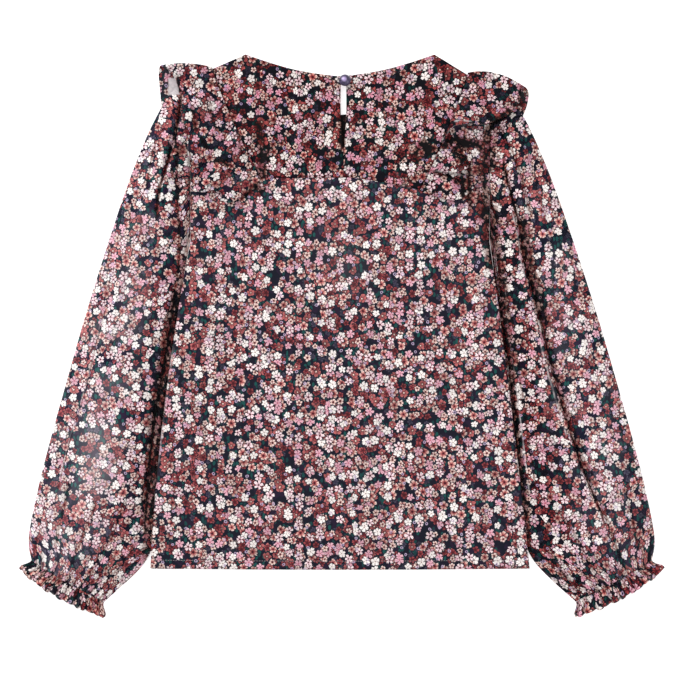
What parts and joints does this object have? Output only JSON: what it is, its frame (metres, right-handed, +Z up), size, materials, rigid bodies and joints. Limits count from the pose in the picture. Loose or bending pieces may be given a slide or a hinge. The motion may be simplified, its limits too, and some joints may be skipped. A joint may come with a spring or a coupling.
{
  "type": "long-sleeve ruffled blouse",
  "caption": "Child's blouse of thin flower-printed cloth, laid flat with its back up: button-and-loop neck opening, shoulder ruffles, full sleeves with frilled elastic cuffs",
  "frame": {"origin": "middle of the laid-out blouse's box, on the surface it lies on", "axes": "+Z up from the surface, +Y from hem to neck, +X towards the wearer's right; the back faces up"},
  "size_m": [0.5968, 0.5194, 0.0171],
  "materials": {
    "printed_cloth": "thin crinkled chiffon, small flowers in red, pink and cream on navy",
    "pearl_button": "pearly dark violet-grey",
    "cord": "thin navy cord"
  },
  "bodies": {
    "root": {"front_panel": "printed_cloth", "back_panel": "printed_cloth", "back_yoke_left": "printed_cloth", "back_yoke_right": "printed_cloth", "sleeve_left_back": "printed_cloth", "sleeve_left_front": "printed_cloth", "sleeve_right_back": "printed_cloth", "sleeve_right_front": "printed_cloth", "cuff_left": "printed_cloth", "cuff_right": "printed_cloth", "ruffle_left": "printed_cloth", "ruffle_right": "printed_cloth", "button": "pearl_button", "button_loop": "cord"}
  },
  "joints": []
}
